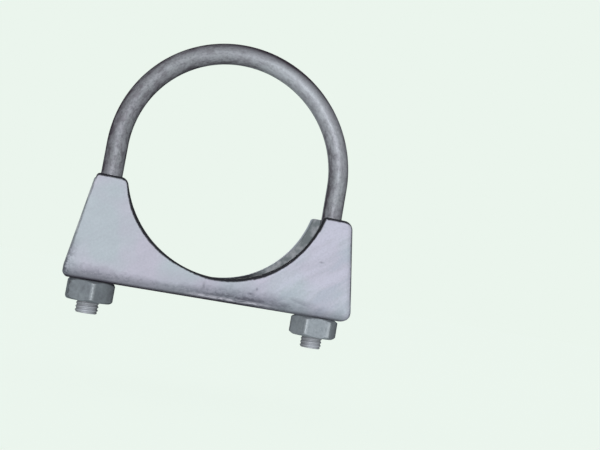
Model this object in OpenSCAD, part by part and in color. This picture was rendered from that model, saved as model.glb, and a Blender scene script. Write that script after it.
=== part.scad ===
// Exhaust pipe clamp: a round bar bent to a U, a folded sheet-steel saddle and two hex nuts.
// Millimetres. The origin is on the axis of the pipe as it lies in the saddle:
// X runs from leg to leg, Y runs along the pipe, and Z points up to the crown of the U.

/* [Pipe] */
// Outside diameter of the pipe that is clamped
pipe_d = 76.1; // [60:0.1:102]
// Radial gap between the pipe and the round seat of the saddle
seat_clearance = 0.05; // [0.02:0.01:0.15]

/* [U-bolt] */
// Diameter of the plain bar
bar_d = 7.7; // [6.5:0.1:9]
// Gap between the pipe and each leg of the U
leg_clearance = 0.35; // [0.1:0.05:1.5]
// How far the U stands up from the place where it grips the pipe
open_gap = 3.6; // [0:0.1:8]
// Length of each leg that shows below its nut
stick_out = 4.25; // [2:0.25:10]

/* [Thread] */
// Outside diameter of the thread
thread_d = 8; // [7:0.1:9]
// Distance from one thread crest to the next
pitch = 1.25; // [1:0.05:1.5]
// Length of thread on each leg
thread_len = 38; // [25:1:45]
// Chamfer at the free end of each leg
end_chamfer = 0.9; // [0.4:0.1:1.2]

/* [Saddle] */
// Thickness of the sheet
sheet_t = 3; // [2:0.1:3.5]
// Inside radius of the two folds
fold_r = 1; // [0.6:0.1:2]
// Clear width between the two cheeks
channel_gap = 14; // [12:0.5:20]
// Height of the cheeks between the seat and the underside of the saddle
throat_h = 8.4; // [6:0.1:14]
// How far the tops of the ears lie below the pipe axis
ear_drop = 8.9; // [5:0.1:14]
// From a leg's axis out to the top corner of its ear
ear_reach = 5.4; // [5:0.05:8]
// From a leg's axis out to the end of the saddle
base_reach = 10.55; // [9:0.05:16]
// Radius of the lower corner at the left end of the saddle
left_end_r = 1.5; // [0.5:0.1:3.5]
// Radius of the lower corner at the right end of the saddle
right_end_r = 3; // [0.5:0.1:3.5]
// Radial gap between a leg's thread and its hole
hole_clearance = 0.5; // [0.3:0.05:1]

/* [Ear corners] */
// Left ear, corner away from the pipe
left_outer_r = 1.2; // [0.5:0.1:2.5]
// Left ear, corner next to the pipe
left_inner_r = 3; // [0.5:0.1:4]
// Right ear, corner next to the pipe
right_inner_r = 0.6; // [0.5:0.1:4]
// Right ear, corner away from the pipe
right_outer_r = 3.6; // [0.5:0.1:4]

/* [Nuts] */
// Width of a nut across its flats
nut_flats = 16; // [15.5:0.5:18]
// Height of a nut
nut_h = 7.5; // [5:0.1:9]
// Diameter of the flat ring on each face of a nut
nut_face_d = 15; // [13:0.1:15]
// Slope of the chamfer from that ring out to the corners, in degrees
nut_chamfer = 30; // [20:1:45]
// Radial running gap between a nut and the thread
nut_clearance = 0.05; // [0.02:0.01:0.1]
// Turn of the left nut on its leg, in degrees
left_nut_turn = 33; // [0:1:60]
// Turn of the right nut on its leg, in degrees
right_nut_turn = 55; // [0:1:60]

/* [Hidden] */
$fn = 96;

// Extra length by which a cutter passes the face that it cuts
over = 1;

// Heights of the saddle, the nuts and the legs
seat_r = pipe_d / 2 + seat_clearance;
saddle_bottom = -seat_r - throat_h;
ear_top = -ear_drop;
nut_bottom = saddle_bottom - nut_h;
leg_end = nut_bottom - stick_out;

// Plan of the U and the saddle
bar_r = bar_d / 2;
leg_x = pipe_d / 2 + leg_clearance + bar_r;
ear_x = leg_x + ear_reach;
base_x = leg_x + base_reach;
fold_out_r = fold_r + sheet_t;
channel_w = channel_gap + 2 * sheet_t;
saddle_h = ear_top - saddle_bottom;

// Sixty-degree thread: its root radius and the flats on its crest and in its root
thread_r = thread_d / 2;
flank_angle = 30;
crest_flat = pitch / 8;
root_flat = pitch / 4;
flank_run = (pitch - crest_flat - root_flat) / 2;
root_r = thread_r - flank_run / tan(flank_angle);
full_turns = floor((thread_len - end_chamfer) / pitch);

// Nut: its running bore with a countersink at each end, and the height of its corner chamfers
nut_bore_r = thread_r + nut_clearance;
nut_corner_r = nut_flats / 2 / cos(30);
nut_face_r = nut_face_d / 2;
nut_chamfer_h = (nut_corner_r - nut_face_r) * tan(nut_chamfer);
nut_sink = 0.5;

// Slope of an ear's outer side, and the directions in which the ear's fillets begin and end
side_run = [base_x - ear_x, ear_top - saddle_bottom - fold_out_r];
side_normal = atan2(side_run[0], side_run[1]);
corner_steps = 10;

// Points of an arc, from one direction to another
function arc_points(centre, r, from, to) =
  [for (i = [0:corner_steps]) let (a = from + (to - from) * i / corner_steps)
    centre + r * [cos(a), sin(a)]];

// Rounded corner of the +X ear away from the pipe, from its sloping side to its level top
function outer_corner(r) =
  let (setback = r * tan((90 - side_normal) / 2))
  arc_points([ear_x - setback, ear_top - r], r, side_normal, 90);

// Rounded corner of the +X ear next to the pipe, from its level top to the round seat
function inner_corner(r) =
  let (centre = [sqrt(pow(seat_r + r, 2) - pow(ear_top - r, 2)), ear_top - r])
  arc_points(centre, r, 90, 180 + atan2(centre[1], centre[0]));

// One half of a cheek's outline, from the middle of its underside to the pipe axis
function half_outline(outer_r, inner_r, end_r) = concat(
  arc_points([base_x - end_r, saddle_bottom + end_r], end_r, -90, 0),
  [[base_x, saddle_bottom + fold_out_r]],
  outer_corner(outer_r),
  inner_corner(inner_r),
  [[0, 0]]
);

// Outline of a cheek, seen along the pipe
module cheek_outline() {
  right = half_outline(right_outer_r, right_inner_r, right_end_r);
  left = half_outline(left_outer_r, left_inner_r, left_end_r);
  difference() {
    polygon(concat(right, [for (i = [len(left) - 2:-1:0]) [-left[i][0], left[i][1]]]));
    circle(seat_r);
  }
}

// A block on the ground line, with its two lower corners rounded
module round_footed(w, h, r) {
  translate([-w / 2, r]) square([w, h - r]);
  translate([-w / 2 + r, 0]) square([w - 2 * r, h]);
  for (side = [-1, 1]) translate([side * (w / 2 - r), r]) circle(r);
}

// Section of the folded channel, seen along X
module channel_section() {
  difference() {
    round_footed(channel_w, saddle_h, fold_out_r);
    translate([0, sheet_t]) round_footed(channel_gap, saddle_h, fold_r);
  }
}

// Two cheeks and the web that joins them, with a hole for each leg
module saddle() {
  color("lightsteelblue") difference() {
    intersection() {
      rotate([90, 0, 0]) linear_extrude(channel_w + 2 * over, center = true) cheek_outline();
      translate([0, 0, saddle_bottom]) rotate([90, 0, 90])
        linear_extrude(2 * (base_x + over), center = true) channel_section();
    }
    for (side = [-1, 1]) translate([side * leg_x, 0, saddle_bottom - over])
      cylinder(r = thread_r + hole_clearance, h = sheet_t + 2 * over);
  }
}

// Half section of one leg: chamfered end, thread ridges, and plain bar up to the bend
module leg_profile() {
  first = leg_end + end_chamfer;
  thread_top = first + full_turns * pitch;
  polygon(concat(
    [[0, leg_end], [thread_r - end_chamfer, leg_end], [root_r, first]],
    [
      for (i = [0:full_turns - 1], p = [
        [root_r, root_flat],
        [thread_r, root_flat + flank_run],
        [thread_r, root_flat + flank_run + crest_flat],
        [root_r, pitch]
      ]) [p[0], first + i * pitch + p[1]]
    ],
    [[bar_r, thread_top + bar_r - root_r], [bar_r, open_gap], [0, open_gap]]
  ));
}

// The bar: half a ring on top of two threaded legs
module u_bolt() {
  color("slategray") {
    for (side = [-1, 1]) translate([side * leg_x, 0, 0]) rotate_extrude() leg_profile();
    translate([0, 0, open_gap]) rotate([90, 0, 0])
      rotate_extrude(angle = 180) translate([leg_x, 0]) circle(bar_r);
  }
}

// A hex nut with its top face on the ground plane
module nut() {
  bottom = -nut_h;
  difference() {
    intersection() {
      translate([0, 0, bottom]) cylinder(r = nut_corner_r, h = nut_h, $fn = 6);
      rotate_extrude() polygon([
        [0, bottom],
        [nut_face_r, bottom],
        [nut_corner_r, bottom + nut_chamfer_h],
        [nut_corner_r, -nut_chamfer_h],
        [nut_face_r, 0],
        [0, 0]
      ]);
    }
    translate([0, 0, bottom - over]) cylinder(r = nut_bore_r, h = nut_h + 2 * over);
    for (flip = [0, 1]) translate([0, 0, flip ? bottom : -nut_sink]) mirror([0, 0, flip ? 1 : 0])
      translate([0, 0, flip ? -nut_sink : 0])
        cylinder(r1 = nut_bore_r, r2 = nut_bore_r + nut_sink, h = nut_sink);
  }
}

module left_nut() {
  color("gray") translate([-leg_x, 0, saddle_bottom]) rotate([0, 0, left_nut_turn]) nut();
}

module right_nut() {
  color("gray") translate([leg_x, 0, saddle_bottom]) rotate([0, 0, right_nut_turn]) nut();
}

saddle();
u_bolt();
left_nut();
right_nut();
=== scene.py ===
import math

import bpy
import numpy as np
from mathutils import Matrix


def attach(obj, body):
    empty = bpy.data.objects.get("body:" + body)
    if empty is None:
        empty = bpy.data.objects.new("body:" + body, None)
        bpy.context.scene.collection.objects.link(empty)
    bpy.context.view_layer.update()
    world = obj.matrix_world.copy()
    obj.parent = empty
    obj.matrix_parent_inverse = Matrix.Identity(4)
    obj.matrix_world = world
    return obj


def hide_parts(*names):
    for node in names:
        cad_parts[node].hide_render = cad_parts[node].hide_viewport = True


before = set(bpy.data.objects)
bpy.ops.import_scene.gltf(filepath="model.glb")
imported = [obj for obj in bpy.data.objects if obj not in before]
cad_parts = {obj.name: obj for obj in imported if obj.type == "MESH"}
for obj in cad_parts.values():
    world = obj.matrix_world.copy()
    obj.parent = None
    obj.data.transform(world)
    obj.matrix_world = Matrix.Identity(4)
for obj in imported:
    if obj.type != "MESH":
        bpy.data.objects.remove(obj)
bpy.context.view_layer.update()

# Sizes of the clamp in millimetres, the same as in the part's source
MM = 0.001
SEAT_R = 38.1
LEG_X = 42.25
BAR_R = 3.85
ARCH_Z = 3.6
SHEET_T = 3.0
FOLD_OUT_R = 4.0
HALF_WIDTH = 10.0
SADDLE_BOTTOM = -46.5
EAR_TOP = -8.9
EAR_X = 47.65
BASE_X = 52.8
LEFT_END_R = 1.5
RIGHT_END_R = 3.0
LEG_HOLE_R = 4.5
LEFT_EAR_R = {"outer": 1.2, "inner": 3.0}
RIGHT_EAR_R = {"outer": 3.6, "inner": 0.6}
NUT_FLATS = 16.0
NUT_H = 7.5
NUT_FACE_R = 7.5
NUT_CHAMFER = math.tan(math.radians(30))
LEFT_NUT_TURN = math.radians(33)
RIGHT_NUT_TURN = math.radians(55)
STICK_OUT = 4.25
LEG_END = SADDLE_BOTTOM - NUT_H - STICK_OUT

# Sixty-degree thread, with the flats on its crest and in its root as shares of the pitch
THREAD_R = 4.0
PITCH = 1.25
CREST_FLAT = 1 / 8
ROOT_FLAT = 1 / 4
FLANKS = 1 - ROOT_FLAT - CREST_FLAT
FULL_TURNS = 29
END_CHAMFER = 0.9
ROOT_R = THREAD_R - FLANKS / 2 * PITCH / math.tan(math.radians(30))
THREAD_TOP = LEG_END + END_CHAMFER + FULL_TURNS * PITCH

# Rounding of the sheet's edges: its sheared ends, the tops of its ears, and the outer edge of the pressed
# pipe seat, which is uneven and is given at directions from its left end to its right end
EDGE_R = 0.35
TOP_EDGE_R = 0.55
SEAT_EDGE_AT = np.radians([-166, -150, -132, -118, -106, -94, -75, -50, -40, -29, -14])
SEAT_EDGE_R = np.array([0.45, 1.2, 1.15, 0.9, 0.65, 1.05, 0.9, 0.5, 0.28, 0.18, 0.1])

# Steps of the quarter round along an edge
EDGE_TURNS = np.radians([22.5, 45, 67.5, 90])

# Faces that meet at more degrees than this keep a crisp edge, where a piece asks for it
CRISP_FROM = 40


# Mesh building

def grid_quads(index, wrap_rows=False, wrap_cols=False):
    """Quads between neighbouring entries of a table of vertex numbers, closed on itself where asked."""
    if wrap_rows:
        index = np.vstack([index, index[:1]])
    if wrap_cols:
        index = np.hstack([index, index[:, :1]])
    corners = (index[:-1, :-1], index[1:, :-1], index[1:, 1:], index[:-1, 1:])
    return np.stack(corners, axis=-1).reshape(-1, 4)


def add_piece(name, node, surface, finish, crisp=True):
    """Puts a worked-out surface (points in mm, faces and marks) into one object at the origin, and joins
    it to the frame."""
    points, faces, marks = surface
    mesh = bpy.data.meshes.new(name)
    mesh.from_pydata(points * MM, [], faces)
    for mark, values in marks.items():
        layer = mesh.attributes.new(mark, "FLOAT", "POINT")
        layer.data.foreach_set("value", np.ascontiguousarray(values, dtype=np.float32))
    mesh.shade_smooth()
    if crisp:
        mesh.set_sharp_from_angle(angle=math.radians(CRISP_FROM))
    mesh.materials.append(finish)
    piece = bpy.data.objects.new(name, mesh)
    bpy.context.scene.collection.objects.link(piece)
    keep_flats = piece.modifiers.new("flat faces stay flat", "WEIGHTED_NORMAL")
    keep_flats.keep_sharp = True
    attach(piece, node)
    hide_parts(node)


# Saddle

SIDE_RUN = (BASE_X - EAR_X) / (EAR_TOP - SADDLE_BOTTOM - FOLD_OUT_R)
SIDE_NORMAL = math.atan(SIDE_RUN)
FOLD_TOP = SADDLE_BOTTOM + FOLD_OUT_R
WEB_FLAT = HALF_WIDTH - FOLD_OUT_R

# Grid around each leg: the half side of a square frame, its cells across, and the inner block of cells
# that is the hole. The rings turn from round to square by a power, and all short of the frame move.
HOLE_FRAME = 6.0
HOLE_CELLS = 30
HOLE_BLOCK = 14
HOLE_EASE = 0.8
INSIDE_FRAME = 0.999

# Rest of the saddle's grid: columns from the middle to a frame, columns from a frame to the end, crowded
# by a power, rows up a fold and up a cheek, and points along an ear's corner and along half the seat
MIDDLE_COLS = 56
END_COLS = 14
END_CROWDING = 1.8
FOLD_ROWS = 12
CHEEK_ROWS = 33
CORNER_POINTS = 40
SEAT_POINTS = 300

# Keeps a divisor above zero
TINY = 1e-9

# Dark line along the sheet's edge, partly the sheared edge's colour and partly painted shade of its
# rounding: how much broader it is in places, how far from the outline those places reach, where the broad
# part of the seat begins, and the gap given to the back, which has no such line
BROAD_LINE = 0.3
EAR_BAND = 1.0
SEAT_BAND = 1.5
BROAD_SEAT_FROM = 14.0
FAR_FROM_EDGE = 5.0

# Tone of that line: how far it stays dark from the seat and the ear tops, its share and run at the right
# end, and the least share elsewhere
SEAT_DARK_REACH = 3.0
TOP_DARK_REACH = 2.5
RIGHT_END_DARK = 0.8
RIGHT_END_RUN = 8.0
LEAST_DARK = 0.12

# Rubbing along the folds: the least, and then the place along X, the reach and the amount of each run
LEAST_WEAR = 0.55
WEAR_RUNS = ((12, 22, 0.45), (-44, 16, 0.35), (50, 20, 0.15))


def half_width(z, foot_r):
    """Half length of the outer face at height z: sloping along the cheek, rounded at its end's foot."""
    inset = EDGE_R / math.cos(SIDE_NORMAL)
    slope = np.minimum(BASE_X, EAR_X + (EAR_TOP - z) * SIDE_RUN)
    rise = np.clip((z - SADDLE_BOTTOM) / foot_r, 0, 1)
    return slope - inset - foot_r * (1 - np.sqrt(1 - (1 - rise) ** 2))


def arc(centre, r, start, stop, count):
    """Points on a circle about centre, or on a spiral where r is a list, from one direction to another."""
    a = np.linspace(start, stop, count)
    return np.stack([centre[0] + r * np.cos(a), centre[1] + r * np.sin(a)], axis=1)


def ear_edge(radii, side):
    """Upper edge of one half of a cheek, drawn in by the edge's rounding: a corner arc from the sloping
    side, the level ear top, a corner arc into the seat, and the seat's arc down to its lowest point. The
    third value of each point is the rounding there."""
    outer, inner = radii["outer"], radii["inner"]
    setback = outer * math.tan((math.pi / 2 - SIDE_NORMAL) / 2)
    outer_centre = (EAR_X - setback, EAR_TOP - outer)
    inner_centre = (math.sqrt((SEAT_R + inner) ** 2 - (EAR_TOP - inner) ** 2), EAR_TOP - inner)
    seat_start = math.atan2(inner_centre[1], inner_centre[0])
    seat = np.linspace(seat_start, -math.pi / 2, SEAT_POINTS)
    seat_round = np.interp(seat if side > 0 else -math.pi - seat, SEAT_EDGE_AT, SEAT_EDGE_R)
    outer_round = np.linspace(EDGE_R, TOP_EDGE_R, CORNER_POINTS)
    inner_round = np.linspace(TOP_EDGE_R, seat_round[0], CORNER_POINTS)
    xz = np.vstack([
        arc(outer_centre, outer - outer_round, SIDE_NORMAL, math.pi / 2, CORNER_POINTS),
        arc(inner_centre, inner - inner_round, math.pi / 2, math.pi + seat_start, CORNER_POINTS),
        arc((0, 0), SEAT_R + seat_round, seat_start, -math.pi / 2, SEAT_POINTS)[1:],
    ])
    rounding = np.concatenate([outer_round, inner_round, seat_round[1:]])
    return np.column_stack([side * xz[:, 0], xz[:, 1], rounding])


def cheek_top(v):
    """Height and rounding of the cheek's upper edge, on columns that are shares v of the half length."""
    left = ear_edge(LEFT_EAR_R, -1)
    right = ear_edge(RIGHT_EAR_R, 1)
    x, z, rounding = np.vstack([left[:-1], right[::-1]]).T
    share = x / half_width(z, LEFT_END_R)
    return np.interp(v, share, z), np.interp(v, share, rounding)


def saddle_columns():
    """Shares of the half length at which columns run: even between the holes, finer around each hole and
    crowded towards the ends."""
    web_x = half_width(np.array(SADDLE_BOTTOM), RIGHT_END_R)
    around_hole = LEG_X + HOLE_FRAME * np.linspace(-1, 1, HOLE_CELLS + 1)
    middle = np.linspace(0, around_hole[0], MIDDLE_COLS + 1)[:-1]
    crowded = 1 - np.linspace(1, 0, END_COLS + 1)[1:] ** END_CROWDING
    end = around_hole[-1] + (web_x - around_hole[-1]) * crowded
    half = np.concatenate([middle, around_hole, end]) / web_x
    return np.concatenate([-half[:0:-1], half])


def draw_in_holes(x, y):
    """Square rings of the grid around each leg become rings that turn from the frame's square to the
    hole's circle: a point at square radius q moves to a mix of its place on a circle and on a square."""
    inner_q = HOLE_BLOCK / HOLE_CELLS
    for side in (-1, 1):
        px, py = (x - side * LEG_X) / HOLE_FRAME, y / HOLE_FRAME
        q = np.maximum(np.maximum(np.abs(px), np.abs(py)), TINY)
        part = np.clip((q - inner_q) / (1 - inner_q), 0, 1)
        ring = (LEG_HOLE_R + EDGE_R) * (1 - part) + HOLE_FRAME * part
        on_circle = ring / np.maximum(np.hypot(px, py), TINY)
        on_square = ring / q
        turn = part ** HOLE_EASE
        scale = on_circle * (1 - turn) + on_square * turn
        near = q < INSIDE_FRAME
        x = np.where(near, side * LEG_X + px * scale, x)
        y = np.where(near, py * scale, y)
    return x, y


def outer_face():
    """Outer face of the folded sheet: its section runs down the front cheek, round a fold, across the web
    and up the back cheek, and each point of it is carried along X in proportion to the half length there.
    Past the left hole the columns move out to the left end's own foot. Gives the points, their normals,
    the table of vertex numbers and the rounding of the edge."""
    v = saddle_columns()
    top, top_round = cheek_top(v)
    rise = np.linspace(0, 1, CHEEK_ROWS + 1)[1:]
    bend = np.linspace(0, np.pi / 2, FOLD_ROWS + 1)[1:]
    web_y = HOLE_FRAME * np.linspace(-1, 1, HOLE_CELLS + 1)
    ones = np.ones_like(v)

    cheek_z = FOLD_TOP + rise[:, None] * (top - FOLD_TOP)
    fold_z = (SADDLE_BOTTOM + FOLD_OUT_R * (1 - np.cos(bend)))[:, None] * ones
    web_z = np.full((len(web_y), len(v)), SADDLE_BOTTOM)
    half_z = np.vstack([fold_z, cheek_z])
    z = np.vstack([half_z[::-1], web_z, half_z])
    half_y = np.concatenate([WEB_FLAT + FOLD_OUT_R * np.sin(bend), np.full(len(rise), HALF_WIDTH)])
    y = np.concatenate([-half_y[::-1], web_y, half_y])[:, None] * ones
    half_lean = np.concatenate([bend, np.full(len(rise), np.pi / 2)])
    lean = np.concatenate([-half_lean[::-1], np.zeros(len(web_y)), half_lean])[:, None] * ones

    x = v * half_width(z, RIGHT_END_R)
    frame_end = LEG_X + HOLE_FRAME
    past_hole = np.clip((-x - frame_end) / (BASE_X - frame_end - RIGHT_END_R), 0, 1)
    x = x - past_hole * (half_width(z, LEFT_END_R) - half_width(z, RIGHT_END_R))
    x, y = draw_in_holes(x, y)

    points = np.stack([x, y, z], axis=-1).reshape(-1, 3)
    normal = np.stack([0 * lean, np.sin(lean), -np.cos(lean)], axis=-1).reshape(-1, 3)
    index = np.arange(len(points)).reshape(z.shape)
    rounding = np.full(len(points), EDGE_R)
    rounding[index[[0, -1]]] = top_round
    return points, normal, index, rounding


def edge_strip(loop, outer, normal, rounding, first_new):
    """Rounded edge carried along a loop of the sheet: a quarter round from the outer face, the flat of the
    edge, and a small quarter round to the inner face. Gives its new points and the table of vertex
    numbers."""
    here = outer[loop]
    up = normal[loop]
    out = np.cross(np.roll(here, -1, axis=0) - np.roll(here, 1, axis=0), up)
    out /= np.linalg.norm(out, axis=1, keepdims=True)
    r = rounding[:, None]
    rows = [here + r * ((math.cos(a) - 1) * up + math.sin(a) * out) for a in EDGE_TURNS]
    inner = here + (r - EDGE_R) * out - (SHEET_T - EDGE_R) * up
    rows += [inner + EDGE_R * (math.sin(a) * out - math.cos(a) * up) for a in EDGE_TURNS[::-1]]
    fresh = first_new + np.arange(len(rows) * len(loop)).reshape(len(rows), len(loop))
    return np.vstack(rows), np.vstack([loop, fresh, loop + len(outer)])


def around(table):
    """Entries along the border of a table, in order."""
    return np.concatenate([table[0, :-1], table[:-1, -1], table[-1, :0:-1], table[:0:-1, 0]])


def saddle_surface():
    """Folded sheet: the outer face, the inner face, which is the outer one moved in by the sheet's
    thickness, and rounded edge strips that close the outline and the two leg holes."""
    outer, normal, index, rounding = outer_face()
    rows, cols = index.shape
    keep = np.ones((rows - 1, cols - 1), bool)
    loops = [around(index)[::-1]]
    first_row = FOLD_ROWS + CHEEK_ROWS + (HOLE_CELLS - HOLE_BLOCK) // 2
    last_row = first_row + HOLE_BLOCK
    for side in (-1, 1):
        first_col = cols // 2 + side * (MIDDLE_COLS + HOLE_CELLS // 2) - HOLE_BLOCK // 2
        last_col = first_col + HOLE_BLOCK
        keep[first_row:last_row, first_col:last_col] = False
        loops.append(around(index[first_row:last_row + 1, first_col:last_col + 1]))

    quads = grid_quads(index)[keep.ravel()]
    points = [outer, outer - SHEET_T * normal]
    faces = [quads, quads[:, ::-1] + len(outer)]
    gap, gap_round = edge_gaps(outer, index, rounding)
    edge_gap = [gap, np.where(outer[:, 1] > 0, FAR_FROM_EDGE, gap + gap_round - EDGE_R)]
    for loop in loops:
        fresh, table = edge_strip(loop, outer, normal, rounding[loop], sum(map(len, points)))
        points.append(fresh)
        faces.append(grid_quads(table, wrap_cols=True))
        past_rounding = np.arange(len(fresh)) >= (len(EDGE_TURNS) - 1) * len(loop)
        edge_gap.append(np.where(past_rounding & (fresh[:, 1] > 0), FAR_FROM_EDGE, -EDGE_R))

    points = np.vstack(points)
    marks = {
        "end_gap": np.maximum(end_gap(points), 0),
        "fold_wear": fold_wear(points[:, 0]),
        "edge_gap": np.concatenate(edge_gap),
        "edge_dark": edge_dark(points),
    }
    return points, np.vstack(faces).tolist(), marks


def end_gap(points):
    """Distance in millimetres to the nearer end of the saddle, sloping along the cheeks."""
    x, z = points[:, 0], points[:, 2]
    side = (EAR_X + (EAR_TOP - z) * SIDE_RUN - np.abs(x)) * math.cos(SIDE_NORMAL)
    return np.minimum(side, BASE_X - np.abs(x))


def fold_wear(x):
    """How much the folds are rubbed along the saddle: a least amount and a bell curve for each run, most a
    little right of the middle, and again at both ends."""
    runs = [amount * np.exp(-((x - place) / reach) ** 2) for place, reach, amount in WEAR_RUNS]
    return LEAST_WEAR + sum(runs)


def edge_gaps(outer, index, rounding):
    """Distance in millimetres, seen along the pipe, from every point of the outer face to the rounded edge
    of the front cheek's outline, counted less along the right end, the ear tops and the right side of the
    seat, where the dark line is broader. Also gives the rounding of the edge there."""
    half = len(index) // 2
    rim = np.concatenate([index[half:0:-1, 0], index[0], index[1:half, -1]])
    apart = np.hypot(outer[:, :1] - outer[rim, 0], outer[:, 2:] - outer[rim, 2])
    nearest = rim[apart.argmin(axis=1)]
    near_x, near_z = outer[nearest, 0], outer[nearest, 2]
    ear_top = near_z > EAR_TOP - EAR_BAND
    right_seat = (near_x > BROAD_SEAT_FROM) & (np.hypot(near_x, near_z) < SEAT_R + SEAT_BAND)
    broad = np.isin(nearest, index[:, -1]) | ear_top | right_seat
    return apart.min(axis=1) - BROAD_LINE * broad, rounding[nearest]


def edge_dark(points):
    """How dark an edge of the sheet is, as sheared-edge colour and painted shade of its rounding: black
    along the pipe seat and over the tops of the ears, nearly so down the right end, and lighter at the
    left end and round the feet."""
    x, z = points[:, 0], points[:, 2]
    seat = np.clip(SEAT_R + SEAT_DARK_REACH - np.hypot(x, z), 0, 1)
    top = np.clip(z - EAR_TOP + TOP_DARK_REACH, 0, 1)
    right_end = RIGHT_END_DARK * np.clip((z - FOLD_TOP) / RIGHT_END_RUN, 0, 1) * (x > 0)
    return np.maximum.reduce([seat, top, right_end, np.full(len(x), LEAST_DARK)])


# Bar

# Ends of the legs: the break at their edge, the share of the thread's depth that is left there, and the
# heights above the end between which the thread comes to its full depth
END_EDGE = 0.5
END_DEPTH = 0.45
DEEPENING = np.array([4.0, 6.0])

# Grid of the bar: the step along the threaded legs, and the counts along a plain leg, along half the arch
# and round the bar
LEG_STEP = 0.1
PLAIN_POINTS = 12
ARCH_POINTS = 66
BAR_SIDES = 56

# Middle and reach of the pale run on one shoulder of the arch, a painted highlight, measured along the bar
# from its left end
HIGHLIGHT_AT = 152.0
HIGHLIGHT_REACH = 34.0


def thread_radius(z, azimuth, crest, root):
    """Radius of a right-hand thread at height z and azimuth: a ridge whose crest climbs by one pitch per
    turn, with a narrow flat on its crest, a wider one in its root and an even S between them."""
    phase = np.mod(z / PITCH - azimuth / (2 * np.pi), 1)
    off_crest = np.abs(phase - 0.5) * 2
    rise = np.clip((1 - ROOT_FLAT - off_crest) / FLANKS, 0, 1)
    return root + (crest - root) * rise ** 2 * (3 - 2 * rise)


def bar_path():
    """Centre line of the right leg and the right half of the arch, from the leg's end to the crown: a
    straight line and a quarter circle. Gives x, z and the lean of the path there."""
    plain_from = THREAD_TOP + 2 * PITCH
    threaded = np.arange(LEG_END, plain_from, LEG_STEP)
    leg = np.concatenate([threaded, np.linspace(plain_from, ARCH_Z, PLAIN_POINTS)[:-1]])
    sweep = np.linspace(0, np.pi / 2, ARCH_POINTS)
    x = np.concatenate([np.full(len(leg), LEG_X), LEG_X * np.cos(sweep)])
    z = np.concatenate([leg, ARCH_Z + LEG_X * np.sin(sweep)])
    lean = np.concatenate([np.zeros(len(leg)), -sweep])
    return x, z, lean


def bar_surface():
    """A circle carried up the left leg, round the arch and down the right leg. On the threaded ends its
    radius is the thread's, which fades into the plain bar at the top and is shallower in the last turns
    above a small chamfer. A fan of triangles closes each end."""
    half_x, half_z, lean = bar_path()
    centre_x = np.concatenate([-half_x[:-1], half_x[::-1]])
    centre_z = np.concatenate([half_z[:-1], half_z[::-1]])
    out_x = np.concatenate([-np.cos(lean[:-1]), np.cos(lean[::-1])])[:, None]
    out_z = np.concatenate([-np.sin(lean[:-1]), -np.sin(lean[::-1])])[:, None]
    turn = np.linspace(0, 2 * np.pi, BAR_SIDES + 1)[:-1]

    azimuth = np.arctan2(np.sin(turn) + 0 * out_x, np.sign(centre_x)[:, None] * np.cos(turn))
    ridge = thread_radius(centre_z[:, None], azimuth, THREAD_R, ROOT_R)
    fade = np.clip((THREAD_TOP + PITCH - centre_z) / (2 * PITCH), 0, 1)[:, None] * np.ones(len(turn))
    depth = np.interp(centre_z, LEG_END + DEEPENING, [END_DEPTH, 1])[:, None]
    radius = BAR_R + (THREAD_R - (THREAD_R - ridge) * depth - BAR_R) * fade
    radius = np.minimum(radius, (THREAD_R - END_EDGE + centre_z - LEG_END)[:, None])
    groove = np.clip((THREAD_R - ridge) / (THREAD_R - ROOT_R), 0, 1) * fade

    px = centre_x[:, None] + radius * np.cos(turn) * out_x
    py = radius * np.sin(turn)
    pz = centre_z[:, None] + radius * np.cos(turn) * out_z
    tube = np.stack([px, py, pz], axis=-1).reshape(-1, 3)
    index = np.arange(len(tube)).reshape(px.shape)
    tips = np.array([[-LEG_X, 0, LEG_END], [LEG_X, 0, LEG_END]])
    first, last = index[0], index[-1]
    left_end = np.column_stack([first, np.roll(first, -1), np.full(len(turn), len(tube))])
    right_end = np.column_stack([np.roll(last, -1), last, np.full(len(turn), len(tube) + 1)])
    faces = grid_quads(index, wrap_cols=True).tolist() + left_end.tolist() + right_end.tolist()

    length = np.concatenate([[0], np.cumsum(np.hypot(np.diff(centre_x), np.diff(centre_z)))])
    along = (length[:, None] + 0 * turn).ravel()
    toward_front = (-np.sin(turn) + 0 * out_x).ravel()
    outward = (np.cos(turn) + 0 * out_x).ravel()
    marks = {
        "in_groove": np.append(groove.ravel(), [0, 0]),
        "along_bar": np.append(along, [0, length[-1]]),
        "front_side": np.append(toward_front, [0, 0]),
        "outer_side": np.append(outward, [0, 0]),
        "highlight_run": np.append(np.exp(-((along - HIGHLIGHT_AT) / HIGHLIGHT_REACH) ** 2), [0, 0]),
    }
    return np.vstack([tube, tips]), faces, marks


# Nuts

# The bore follows the shallow thread at the legs' ends with a gap, and widens to a mouth at each face
THREAD_GAP = 0.08
MOUTH_SINK = 0.5
NUT_MOUTH_R = THREAD_R + MOUTH_SINK
END_ROOT_R = THREAD_R - END_DEPTH * (THREAD_R - ROOT_R)

# Softening of the upright corners and of the edges, and the grid of a nut
CORNER_POWER = 70
EDGE_REACH = 0.25
FLATS = 6
HALF_FLAT = math.radians(30)
FLAT_COLS = 20
ROUND_POINTS = 6
BORE_POINTS = 78


def rounded_profile(corners, reach):
    """Profile through a list of corners (radius and height on every column), each inner corner replaced
    by a parabola that begins and ends at the given distance from it."""
    rows = [corners[:1]]
    t = np.linspace(0, 1, ROUND_POINTS)[:, None, None]
    for before, here, after in zip(corners, corners[1:], corners[2:]):
        start = here + (before - here) * reach / np.linalg.norm(before - here, axis=0)
        stop = here + (after - here) * reach / np.linalg.norm(after - here, axis=0)
        rows.append((1 - t) ** 2 * start + 2 * t * (1 - t) * here + t ** 2 * stop)
    rows.append(corners[-1:])
    return np.concatenate(rows)


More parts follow.
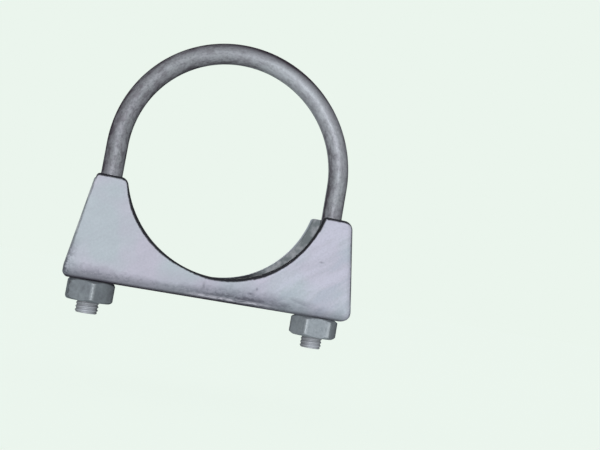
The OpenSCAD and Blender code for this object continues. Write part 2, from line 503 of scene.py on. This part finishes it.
def nut_surface(leg_x, turn):
    """A closed profile carried round the leg. Its outer radius is that of six flats blended by a high
    power mean, its ends are chamfered in proportion to that radius, and its bore follows the thread of
    the leg's end with a gap."""
    steps = np.linspace(-1, 1, FLAT_COLS + 1)[:-1]
    local = HALF_FLAT * np.sin(steps * np.pi / 2)
    middles = HALF_FLAT * (1 + 2 * np.arange(FLATS))
    azimuth = (local + middles[:, None]).ravel() + turn
    flat = np.tile(np.cos(local), FLATS)
    next_flat = np.tile(np.cos(2 * HALF_FLAT - np.abs(local)), FLATS)
    blend = (flat ** CORNER_POWER + next_flat ** CORNER_POWER) ** (1 / CORNER_POWER)
    side_r = NUT_FLATS / 2 / blend
    drop = (side_r - NUT_FACE_R) * NUT_CHAMFER
    ones = np.ones_like(side_r)
    corners = np.array([
        [NUT_MOUTH_R * ones, 0 * ones],
        [NUT_FACE_R * ones, 0 * ones],
        [side_r, -drop],
        [side_r, drop - NUT_H],
        [NUT_FACE_R * ones, -NUT_H * ones],
        [NUT_MOUTH_R * ones, -NUT_H * ones],
    ])
    outside = rounded_profile(corners, EDGE_REACH)

    bore_z = np.linspace(-NUT_H, 0, BORE_POINTS)[1:-1, None]
    bore_r = thread_radius(SADDLE_BOTTOM + bore_z, azimuth, THREAD_R, END_ROOT_R) + THREAD_GAP
    to_face = np.minimum(-bore_z, NUT_H + bore_z)
    bore_r = np.maximum(bore_r, NUT_MOUTH_R - to_face)
    r = np.vstack([outside[:, 0], bore_r])
    z = np.vstack([outside[:, 1], bore_z * ones])

    points = np.stack([leg_x + r * np.cos(azimuth), r * np.sin(azimuth), SADDLE_BOTTOM + z], axis=-1)
    faces = grid_quads(np.arange(r.size).reshape(r.shape), wrap_rows=True, wrap_cols=True)
    bore = np.vstack([np.zeros(outside[:, 0].shape), np.ones(bore_r.shape)])
    corner_gap = np.hypot(side_r.max() - side_r, np.maximum(side_r - r, 0))
    marks = {"in_groove": bore.ravel(), "corner_gap": corner_gap.ravel()}
    return points.reshape(-1, 3), faces.tolist(), marks


# Finishes

# Plated steel: how metallic it is, and the tint of its own reflection where it is seen along the surface,
# which is dull on the bar and the nuts
PLATE_METALLIC = 0.15
PLAIN_GRAZING = (1.0, 1.0, 1.0, 1.0)
DULL_GRAZING = (0.1, 0.1, 0.1, 1.0)


class Wire:
    """A shader socket that can be used in arithmetic."""

    def __init__(self, finish, socket):
        self.finish = finish
        self.socket = socket

    def _math(self, operation, first, second):
        """Adds a Math node."""
        return self.finish.node("ShaderNodeMath", {"operation": operation}, {0: first, 1: second})

    def __add__(self, other):
        return self._math("ADD", self, other)

    def __radd__(self, other):
        return self._math("ADD", other, self)

    def __sub__(self, other):
        return self._math("SUBTRACT", self, other)

    def __rsub__(self, other):
        return self._math("SUBTRACT", other, self)

    def __mul__(self, other):
        return self._math("MULTIPLY", self, other)

    def __rmul__(self, other):
        return self._math("MULTIPLY", other, self)

    def __truediv__(self, other):
        return self._math("DIVIDE", self, other)


class Finish:
    """A material, or the world, whose nodes are written as expressions."""

    def __init__(self, holder):
        holder.use_nodes = True
        self.holder = holder
        self.tree = holder.node_tree
        self.tree.nodes.clear()

    def node(self, kind, settings=None, inputs=None, out=0):
        """Adds a node of that type with its settings, then its input values or links. Gives an output."""
        made = self.tree.nodes.new(kind)
        for key, value in (settings or {}).items():
            setattr(made, key, value)
        for key, value in (inputs or {}).items():
            if isinstance(value, Wire):
                self.tree.links.new(value.socket, made.inputs[key])
            else:
                made.inputs[key].default_value = value
        return Wire(self, made.outputs[out]) if len(made.outputs) else None

    def place(self):
        """Where a point lies on the piece, in the frame's metres."""
        return self.node("ShaderNodeTexCoord", out="Object")

    def mark(self, name):
        """A value that was worked out with the piece's surface."""
        return self.node("ShaderNodeAttribute", {"attribute_name": name}, out="Fac")

    def placed(self, vector, scale=(1, 1, 1), turn=(0, 0, 0)):
        """A place stretched and turned, in degrees, for a pattern to be read at."""
        inputs = {"Vector": vector, "Scale": scale, "Rotation": tuple(map(math.radians, turn))}
        return self.node("ShaderNodeMapping", {}, inputs)

    def parts(self, vector):
        """X, Y and Z of a vector."""
        x = self.node("ShaderNodeSeparateXYZ", {}, {"Vector": vector})
        return [Wire(self, socket) for socket in x.socket.node.outputs]

    def axes(self, vector):
        """X, Y and Z of a place, in millimetres."""
        return [part / MM for part in self.parts(vector)]

    def clouds(self, vector, scale, detail=3.0, rough=0.6, distort=0.0):
        """Soft noise about 0.5, finer with a larger scale."""
        look = {"Scale": scale, "Detail": detail, "Roughness": rough, "Distortion": distort}
        return self.node("ShaderNodeTexNoise", {}, {"Vector": vector, **look})

    def between(self, value, low, high):
        """0 at low and beyond it, 1 at high and beyond it, and even between."""
        inputs = {"Value": value, "From Min": low, "From Max": high}
        return self.node("ShaderNodeMapRange", {"clamp": True}, inputs)

    def band(self, value, middle, reach):
        """1 at the middle value, falling evenly to 0 at the given reach on both sides."""
        off = self.node("ShaderNodeMath", {"operation": "ABSOLUTE"}, {0: value - middle})
        return 1 - self.between(off, 0.0, reach)

    def mix(self, share, first, second):
        """A colour between two others."""
        inputs = {0: share, 6: first, 7: second}
        return self.node("ShaderNodeMix", {"data_type": "RGBA"}, inputs, out=2)

    def spot(self, x, z, place, size):
        """A small soft mark, 1 at its middle, at a place in the plane of the cheeks."""
        return self.band(x, place[0], size[0]) * self.band(z, place[1], size[1])

    def relief(self, height, distance):
        """A surface's normal, roughened by a height that is at most the distance, in metres."""
        return self.node("ShaderNodeBump", {}, {"Strength": 1.0, "Distance": distance, "Height": height})

    def end(self, kind, socket):
        """Joins the last shader to the output."""
        self.node(kind, {}, {"Surface": socket})

    def plated(self, colour, roughness, normal, grazing):
        """Ends a material as dull plated steel of that colour."""
        surface = self.node("ShaderNodeBsdfPrincipled", {}, {
            "Base Color": colour,
            "Metallic": PLATE_METALLIC,
            "Specular IOR Level": 0.0,
            "Specular Tint": grazing,
            "Roughness": roughness,
            "Normal": normal,
        })
        self.end("ShaderNodeOutputMaterial", surface)
        return self.holder


def rgb(red, green, blue):
    """A colour as it is seen on screen (0 to 255), as linear light, by the usual screen curve."""
    seen = np.array([red, green, blue]) / 255
    linear = np.where(seen <= 0.04045, seen / 12.92, ((seen + 0.055) / 1.055) ** 2.4)
    return (*map(float, linear), 1.0)


def new_finish(name):
    """An empty material."""
    return Finish(bpy.data.materials.new(name))


# Tones of the plated sheet
SHEET = {
    "lavender": rgb(188, 185, 201),
    "blue grey": rgb(178, 188, 196),
    "left side": rgb(170, 174, 183),
    "right side": rgb(190, 197, 212),
    "rub": rgb(166, 168, 180),
    # painted sheen: lighter and darker slanting bands that stand in for reflected light
    "painted sheen light": rgb(203, 203, 221),
    "painted sheen dark": rgb(170, 179, 195),
    "light grain": rgb(208, 210, 221),
    "dark grain": rgb(158, 162, 174),
    # painted shade inside the channel: a patchy grey, lighter patches, and near black under the pipe
    "channel": rgb(116, 123, 126),
    "channel bloom": rgb(160, 163, 168),
    "channel shade": rgb(40, 41, 45),
    "fold haze": rgb(138, 144, 156),
    # grey of the folds: partly rubbing and partly painted shade towards the bottom
    "fold": rgb(118, 119, 130),
    "fold grains": rgb(78, 82, 91),
    "fold lines": rgb(82, 81, 93),
    # flecks rubbed bare and brightened as painted glints
    "bare fleck glint": rgb(208, 206, 219),
    # painted shade along the underside of the folds
    "painted underside shade": rgb(46, 40, 50),
    # painted shade at the right end
    "right end": rgb(112, 115, 126),
    "nick": rgb(92, 94, 104),
    # dark edge line: partly the sheared edge's colour and partly painted shade of its rounding
    "back edge": rgb(84, 88, 91),
    "front edge": rgb(34, 34, 38),
}
SHEET_RELIEF = 0.00005
RUB_SLANT = (0, 40, 0)

# Nicks in the front cheek: place in X and Z, reach in X and Z, and share of their tone
NICKS = (
    ((38.1, -25.9), (1.4, 0.5), 0.5),
    ((15.6, -39.7), (0.6, 0.9), 0.7),
    ((13.5, -41.7), (1.3, 0.6), 0.8),
    ((-3.9, -41.7), (0.8, 2.2), 0.5),
)


def sheet_zinc():
    """Satin zinc on pressed sheet: soft lavender and blue-grey clouds with a faint slanting rub and a
    painted sheen, painted shade inside the channel, dark edges that are partly the sheared edge's colour
    and partly painted shade, a few nicks, and folds that darken towards the bottom, partly rubbed and
    partly painted shade, with dark grains, flecks rubbed bare and brightened as painted glints, and
    painted shade along their underside."""
    f = new_finish("sheet_zinc")
    at = f.place()
    x, y, z = f.axes(at)
    above = z - SADDLE_BOTTOM
    front = f.between(y, 1.0, -1.0)
    slanting = f.placed(at, turn=RUB_SLANT)
    cloud = f.clouds(at, 45.0, detail=2.0, rough=0.5)
    rub = f.clouds(f.placed(slanting, (0.6, 1, 7)), 170.0, detail=2.0, rough=0.55)
    sheen = f.clouds(f.placed(slanting, (0.45, 1, 1.8)), 130.0, rough=0.55)
    grain = f.clouds(at, 1300.0)
    speck = f.clouds(f.placed(at, (0.85, 1, 1)), 950.0)
    streak = f.clouds(f.placed(at, (0.3, 1, 1.2)), 900.0)
    smudge = f.clouds(f.placed(at, (0.35, 1, 1)), 420.0, detail=4.0, rough=0.65)
    blotch = f.clouds(f.placed(at, (0.5, 1, 1)), 380.0)
    patch = f.clouds(at, 260.0)

    # Flat cheeks: clouds, a greyer left and a paler right side, slanting rub, a painted sheen of slanting
    # lighter and darker bands on the right, and fine grain
    colour = f.mix(f.between(cloud, 0.42, 0.58), SHEET["lavender"], SHEET["blue grey"])
    colour = f.mix(f.between(x, 0.0, -40.0) * 0.25, colour, SHEET["left side"])
    colour = f.mix(f.between(x, 5.0, 45.0) * 0.2, colour, SHEET["right side"])
    colour = f.mix(f.between(rub, 0.4, 0.7) * 0.22, colour, SHEET["rub"])
    painted_sheen_share = f.between(x, 5.0, 25.0) * 0.42
    colour = f.mix(f.between(sheen, 0.47, 0.62) * painted_sheen_share, colour, SHEET["painted sheen light"])
    colour = f.mix(f.between(sheen, 0.49, 0.36) * painted_sheen_share, colour, SHEET["painted sheen dark"])
    grit = 0.15 + 0.08 * f.between(x, 0.0, 25.0)
    colour = f.mix(f.between(grain, 0.5, 0.68) * grit, colour, SHEET["light grain"])
    colour = f.mix(f.between(grain, 0.5, 0.34) * grit, colour, SHEET["dark grain"])

    # Inside of the channel: painted shade between the cheeks, patchy, and nearly black as painted shade
    # low down under the pipe
    dull = f.mix(f.between(patch, 0.42, 0.62), SHEET["channel"], SHEET["channel bloom"])
    painted_shade_under_pipe = f.between(f.band(x, 1.0, 24.0), 0.1, 0.4) * f.between(z, -30.5, -33.5)
    dull = f.mix(painted_shade_under_pipe, dull, SHEET["channel shade"])
    channel_shade_share = f.between(f.band(y, 0.0, 16.4) * 2 - 0.95, 0.05, 0.2)
    colour = f.mix(channel_shade_share * f.between(above, 1.0, 2.0), colour, dull)

    # Folds: a haze above them, and a grey that darkens towards the bottom of the fold, partly rubbing and
    # partly painted shade where the sheet turns under, reaching higher where they are worn, with dark
    # grains in it
    worn = f.mark("fold_wear")
    uneven = above + (blotch - 0.5) * 5
    haze = (1 - f.between(uneven, 3.0, 9.5)) * f.band(x, 8.0, 42.0)
    colour = f.mix(haze * 0.55, colour, SHEET["fold haze"])
    low = (1 - f.between(uneven, 0.4, 1.0 + 5.8 * worn)) * (0.4 + 0.6 * worn)
    shade = 0.75 - 0.2 * f.between(x, 12.0, 30.0) + 0.1 * f.between(x, -4.0, -14.0)
    colour = f.mix(low * shade, colour, SHEET["fold"])
    fine = 1 - f.between(x, 14.0, 28.0) * 0.7
    left_under = f.between(x, 0.0, -15.0) * f.between(above, 3.0, 1.2)
    grains = low * fine * f.between(speck * 0.55 + blotch * 0.45, 0.445, 0.52) * (1 - left_under * 0.8)
    near_end = 1 - f.between(f.mark("end_gap"), 0.3, 3.0)
    left_foot = near_end * f.between(above, 15.0, 7.0) * f.between(x, 0.0, -1.0)
    grains = grains + left_foot * f.between(patch * 0.5 + speck * 0.5, 0.44, 0.52)
    colour = f.mix(f.between(grains, 0.0, 1.0) * 0.7, colour, SHEET["fold grains"])

    # Folds: a rubbed line in the middle and a darker smudgy band towards the right nut, flecks rubbed bare
    # below the first line and brightened as painted glints, and painted shade along the underside of the
    # folds
    middle_line = f.band(above, 2.6, 1.5) * f.band(x, 12.0, 22.0) * f.between(streak, 0.4, 0.52)
    right_line = f.band(above, 3.4, 3.2) * f.band(x, 29.0, 13.0) * f.between(smudge, 0.45, 0.58) * 0.75
    colour = f.mix(f.between(middle_line + right_line, 0.0, 1.0) * 0.8, colour, SHEET["fold lines"])
    painted_glint_run = f.band(above, 1.35, 0.75) * f.between(f.band(x, 6.0, 17.0), 0.0, 0.4)
    colour = f.mix(painted_glint_run * f.between(streak, 0.4, 0.5) * 0.95, colour, SHEET["bare fleck glint"])
    lowest = (1 - f.between(above, 0.35, 1.2)) * f.between(f.band(y, 0.0, 10.0), 0.5, 0.42)
    underside_shade_share = 0.9 - 0.35 * f.between(x, 8.0, 20.0)
    colour = f.mix(lowest * underside_shade_share, colour, SHEET["painted underside shade"])

    # Right end darkened as painted shade, nicks, and the dark edge line, partly the sheared edge's colour
    # and partly painted shade of its rounding
    right_end = (1 - f.between(f.mark("end_gap"), 0.3, 2.2)) * f.between(x, 0.0, 1.0)
    colour = f.mix(right_end * 0.4, colour, SHEET["right end"])
    nicks = sum(f.spot(x, z, place, reach) * share for place, reach, share in NICKS)
    colour = f.mix(nicks * front, colour, SHEET["nick"])
    dark = f.mark("edge_dark")
    ragged = f.mark("edge_gap") + (speck - 0.5) * 0.5
    edge_line = f.between(ragged, 0.3, -0.15) * (dark + (1 - dark) * f.between(blotch, 0.4, 0.6) * 0.35)
    colour = f.mix(edge_line * 0.97, colour, f.mix(front, SHEET["back edge"], SHEET["front edge"]))

    normal = f.relief(grain * 0.4 + blotch * 0.6, SHEET_RELIEF)
    return f.plated(colour, 0.5 + 0.2 * blotch, normal, PLAIN_GRAZING)


# Tones of the plated bar
BAR = {
    "grey": rgb(150, 153, 159),
    # painted highlight: the pale run along one shoulder of the arch
    "pale": rgb(192, 197, 205),
    "clouds": rgb(155, 153, 164),
    "mottle": rgb(92, 93, 99),
    "stain": rgb(101, 96, 104),
    "drawn": rgb(190, 197, 205),
    "smudge": rgb(80, 78, 84),
    "smear": rgb(84, 82, 88),
    # painted shade along both sides of the front and on the outside of the arch
    "painted_side_shade": rgb(62, 56, 64),
    "thread": rgb(164, 168, 174),
    # painted highlight on the front of each leg's end
    "painted_tip_highlight": rgb(196, 200, 210),
    # painted shade in the thread's grooves
    "groove": rgb(84, 84, 88),
}
DULL_RELIEF = 0.00006

# Smears on the front of the bar: place in X and Z, and reach in X and Z
LEG_SMEAR = ((38.3, 7.5), (1.8, 6.0))
ARCH_SMEAR = ((-20.2, 36.1), (2.2, 1.6))


def bar_zinc():
    """Dull zinc on drawn bar: mottled grey, paler on one shoulder of the arch as a painted highlight, with
    lengthwise drawing marks and stains, a few smudges, painted shade along both sides of the front, a
    painted highlight on the front of each leg's end, and painted shade in the grooves of the thread."""
    f = new_finish("bar_zinc")
    at = f.place()
    x, y, z = f.axes(at)
    along = f.mark("along_bar")
    front_side = f.mark("front_side")
    outer_side = f.mark("outer_side")
    pale = f.mark("highlight_run")
    for_drawing = {"X": along * 0.02, "Y": front_side, "Z": outer_side}
    for_stains = {"X": along * 0.12, "Y": front_side, "Z": outer_side}
    cloud = f.clouds(at, 110.0, distort=0.5)
    mottle = f.clouds(at, 1150.0, detail=4.0, rough=0.66)
    smudge = f.clouds(at, 210.0, distort=0.8)
    drawn = f.clouds(f.node("ShaderNodeCombineXYZ", {}, for_drawing), 5.0)
    stain = f.clouds(f.node("ShaderNodeCombineXYZ", {}, for_stains), 2.6, distort=0.4)

    # Plain bar: a painted highlight along one shoulder, clouds, mottle, lengthwise stains and drawing
    # marks, and smudges
    colour = f.mix(pale, BAR["grey"], BAR["pale"])
    colour = f.mix(f.between(cloud, 0.38, 0.62) * 0.4, colour, BAR["clouds"])
    colour = f.mix(f.between(mottle, 0.45, 0.7) * (0.55 - 0.35 * pale), colour, BAR["mottle"])
    inner = f.between(outer_side, -0.2, -0.6)
    stained = 0.55 - 0.42 * pale + 0.2 * pale * inner
    colour = f.mix(f.between(stain, 0.44, 0.64) * stained, colour, BAR["stain"])
    colour = f.mix(f.between(drawn, 0.5, 0.7) * (0.15 + 0.25 * pale), colour, BAR["drawn"])
    colour = f.mix(f.between(smudge, 0.66, 0.76) * 0.5, colour, BAR["smudge"])
    smears = f.between(mottle, 0.35, 0.55) * f.spot(x, z, *LEG_SMEAR) + f.spot(x, z, *ARCH_SMEAR)
    colour = f.mix(smears * f.between(y, 0.0, -1.0) * 0.7, colour, BAR["smear"])

    # Painted shade along the sides: both sides of the front, and the outside of the arch, most on its
    # shoulder
    threaded = f.between(z, -44.0, -48.0)
    shoulder = f.band(along, 142.0, 40.0)
    outside = f.between(outer_side, -0.22, 0.68) * (0.2 + 0.15 * pale + 0.65 * shoulder)
    edge = f.band(front_side, 0.0, 1.0) * (1.15 - 0.6 * pale)
    edge = edge * (0.7 + (0.6 - 0.3 * pale) * f.between(stain, 0.38, 0.62))
    painted_side_shade = (edge + outside) * f.between(front_side, 0.04, 0.24) * (1 - threaded * 0.4)
    colour = f.mix(f.between(painted_side_shade, 0.0, 1.0), colour, BAR["painted_side_shade"])

    # Threaded ends: a lighter thread, a painted highlight on the front of each leg's end, and painted
    # shade in the grooves
    colour = f.mix(threaded * 0.6, colour, BAR["thread"])
    painted_tip_highlight = f.between(z, LEG_END + 3.4, LEG_END + 1.6) * f.between(front_side, 0.5, 0.95)
    colour = f.mix(painted_tip_highlight * 0.6, colour, BAR["painted_tip_highlight"])
    colour = f.mix(f.mark("in_groove") * 0.3, colour, BAR["groove"])

    normal = f.relief(mottle * 0.7 + drawn * 0.3, DULL_RELIEF)
    return f.plated(colour, 0.42 + 0.16 * mottle, normal, DULL_GRAZING)


# Tones of the plated nuts: one plating in two copies, the left nut's greys darker as painted shade and the
# right nut's lighter as if lit
LEFT_NUT_SHADED_GREYS = (rgb(118, 123, 130), rgb(132, 139, 145))
RIGHT_NUT_LIT_GREYS = (rgb(144, 151, 158), rgb(158, 165, 172))
NUT = {
    "mottle": rgb(92, 95, 99),
    # painted shade on the nut's sides
    "shade": rgb(66, 65, 70),
    # painted highlight on the front and back corners, over rubbing, and painted shade on the corners at
    # the sides
    "painted corner highlight": rgb(182, 188, 194),
    "painted side corner shade": rgb(70, 71, 75),
    # painted shade in the bore
    "bore": rgb(60, 61, 63),
}


def nut_zinc(name, leg_x, greys, left_shade):
    """Dull zinc on a cold-formed nut, between two greys, with painted shade to the right and by a given
    share to the left, corners paler at the front and back as a painted highlight over rubbing and darker
    at the sides as painted shade, and a bore darkened as painted shade."""
    f = new_finish(name)
    at = f.place()
    x, y = f.axes(at)[:2]
    cloud = f.clouds(at, 180.0, distort=0.5)
    mottle = f.clouds(at, 900.0, detail=4.0, rough=0.62)
    colour = f.mix(f.between(cloud, 0.38, 0.62), *greys)
    colour = f.mix(f.between(mottle, 0.45, 0.7) * 0.3, colour, NUT["mottle"])
    # Painted shade on the right side and, by a given share, on the left side
    colour = f.mix(f.between(x, leg_x + 3.5, leg_x + 9.0) * 0.55, colour, NUT["shade"])
    colour = f.mix(f.between(x, leg_x - 3.5, leg_x - 7.0) * left_shade, colour, NUT["shade"])
    # Corners: a painted highlight over rubbing at the front and back, and painted shade at the sides
    sideways = f.between(f.band(y, 0.0, 10.0), 0.3, 0.4)
    rubbed = f.mix(sideways, NUT["painted corner highlight"], NUT["painted side corner shade"])
    corner = 1 - f.between(f.mark("corner_gap"), 0.05, 0.45)
    colour = f.mix(corner * f.between(mottle, 0.3, 0.55) * 0.75, colour, rubbed)
    # Bore darkened as painted shade
    colour = f.mix(f.mark("in_groove") * 0.6, colour, NUT["bore"])
    return f.plated(colour, 0.42 + 0.16 * mottle, f.relief(mottle, DULL_RELIEF), DULL_GRAZING)


# Pale background, and the floor in its tone: its paint, its glow, and the share of the glow in it
BACKGROUND = rgb(235, 245, 237)
FLOOR_PAINT = (0.72, 0.78, 0.73, 1.0)
FLOOR_GLOW = (0.898, 0.987, 0.917, 1.0)
GLOW_SHARE = 0.88


def seen_directly(f):
    """1 for rays from the camera, a mirror or a clear body, 0 for light that falls on something dull."""
    camera = f.node("ShaderNodeLightPath", out="Is Camera Ray")
    path = camera.socket.node.outputs
    mirrored = Wire(f, path["Is Glossy Ray"])
    through = Wire(f, path["Is Transmission Ray"])
    return f.between(camera + mirrored + through, 0.0, 1.0)


def pale_floor():
    """Plain pale floor in the background's tone that takes the clamp's shadow."""
    f = new_finish("pale_floor")
    paint = f.node("ShaderNodeBsdfDiffuse", {}, {"Color": FLOOR_PAINT})
    glow = f.node("ShaderNodeEmission", {}, {"Color": FLOOR_GLOW, "Strength": 1.0})
    surface = f.node("ShaderNodeMixShader", {}, {0: seen_directly(f) * GLOW_SHARE, 1: paint, 2: glow})
    f.end("ShaderNodeOutputMaterial", surface)
    return f.holder


# Pieces

add_piece("folded_saddle", "saddle", saddle_surface(), sheet_zinc(), crisp=False)
add_piece("bent_bar", "u_bolt", bar_surface(), bar_zinc())

left_finish = nut_zinc("left_nut_zinc", -LEG_X, LEFT_NUT_SHADED_GREYS, left_shade=0.0)
add_piece("left_hex_nut", "left_nut", nut_surface(-LEG_X, LEFT_NUT_TURN), left_finish)

right_finish = nut_zinc("right_nut_zinc", LEG_X, RIGHT_NUT_LIT_GREYS, left_shade=0.2)
add_piece("right_hex_nut", "right_nut", nut_surface(LEG_X, RIGHT_NUT_TURN), right_finish)

# Floor: just below where the ends of the legs come to when the clamp is drawn fully down

BAR_TRAVEL = 22.0
FLOOR_GAP = 0.2
FLOOR_Z = LEG_END - BAR_TRAVEL - FLOOR_GAP
FLOOR_HALF = 6000.0
floor_points = np.array([[-1, -1, 0], [1, -1, 0], [1, 1, 0], [-1, 1, 0]]) * FLOOR_HALF + [0, 0, FLOOR_Z]
floor_mesh = bpy.data.meshes.new("floor")
floor_mesh.from_pydata(floor_points * MM, [], [[0, 1, 2, 3]])
floor_mesh.materials.append(pale_floor())
floor = bpy.data.objects.new("floor", floor_mesh)
bpy.context.scene.collection.objects.link(floor)

# Light: a sky that is brighter behind and above, and two far lamps that shine towards the clamp

FRONT_SKY = (0.14, 0.14, 0.143, 1.0)
BACK_SKY = (0.64, 0.64, 0.655, 1.0)
BEHIND_WEIGHT = 0.8
ABOVE_WEIGHT = 0.5
SKY_FROM = -0.5
SKY_TO = 0.9
LIT_POINT = (0, 0, -5)

world = Finish(bpy.data.worlds.new("studio"))
bpy.context.scene.world = world.holder
backward, upward = world.parts(world.node("ShaderNodeTexCoord", out="Generated"))[1:]
behind = world.between(backward * BEHIND_WEIGHT + upward * ABOVE_WEIGHT, SKY_FROM, SKY_TO)
tone = world.mix(seen_directly(world), world.mix(behind, FRONT_SKY, BACK_SKY), BACKGROUND)
sky = world.node("ShaderNodeBackground", {}, {"Color": tone, "Strength": 1.0})
world.end("ShaderNodeOutputWorld", sky)


def far_lamp(name, place, strength, spread):
    """A far lamp in the direction of a place in millimetres, its light spread over an angle in degrees."""
    lamp = bpy.data.lights.new(name, "SUN")
    lamp.energy = strength
    lamp.angle = math.radians(spread)
    obj = bpy.data.objects.new(name, lamp)
    back = np.subtract(place, LIT_POINT) / np.linalg.norm(np.subtract(place, LIT_POINT))
    side = np.cross([0, 0, 1], back)
    side /= np.linalg.norm(side)
    obj.matrix_world = Matrix((side, np.cross(back, side), back)).transposed().to_4x4()
    obj.location = np.array(place) * MM
    obj.visible_camera = False
    bpy.context.scene.collection.objects.link(obj)


far_lamp("front", (-370, -1500, 25), strength=2.2, spread=2)
far_lamp("back", (90, 500, 70), strength=1.0, spread=12)

# Camera: matched to the photograph's outline

CAMERA_AT = (-60.0, -330.1, -37.8)
VIEW_YAW, VIEW_PITCH, VIEW_ROLL = np.radians([15.29, -4.16, 9.79])
LENS = 54.0
SENSOR_WIDTH = 36.0
NEAREST = 0.01
FURTHEST = 50.0


def turn_about(axis, angle):
    """Rotation matrix about X, Y or Z by the right-hand rule."""
    return np.array(Matrix.Rotation(angle, 3, axis))


right, forward, up = turn_about("Y", VIEW_ROLL) @ turn_about("X", VIEW_PITCH) @ turn_about("Z", VIEW_YAW)
camera_data = bpy.data.cameras.new("camera")
camera_data.lens = LENS
camera_data.sensor_width = SENSOR_WIDTH
camera_data.clip_start = NEAREST
camera_data.clip_end = FURTHEST
camera = bpy.data.objects.new("camera", camera_data)
camera.matrix_world = Matrix((right, up, -forward)).transposed().to_4x4()
camera.location = np.array(CAMERA_AT) * MM
bpy.context.scene.collection.objects.link(camera)
bpy.context.scene.camera = camera
bpy.context.scene.view_settings.view_transform = "Standard"
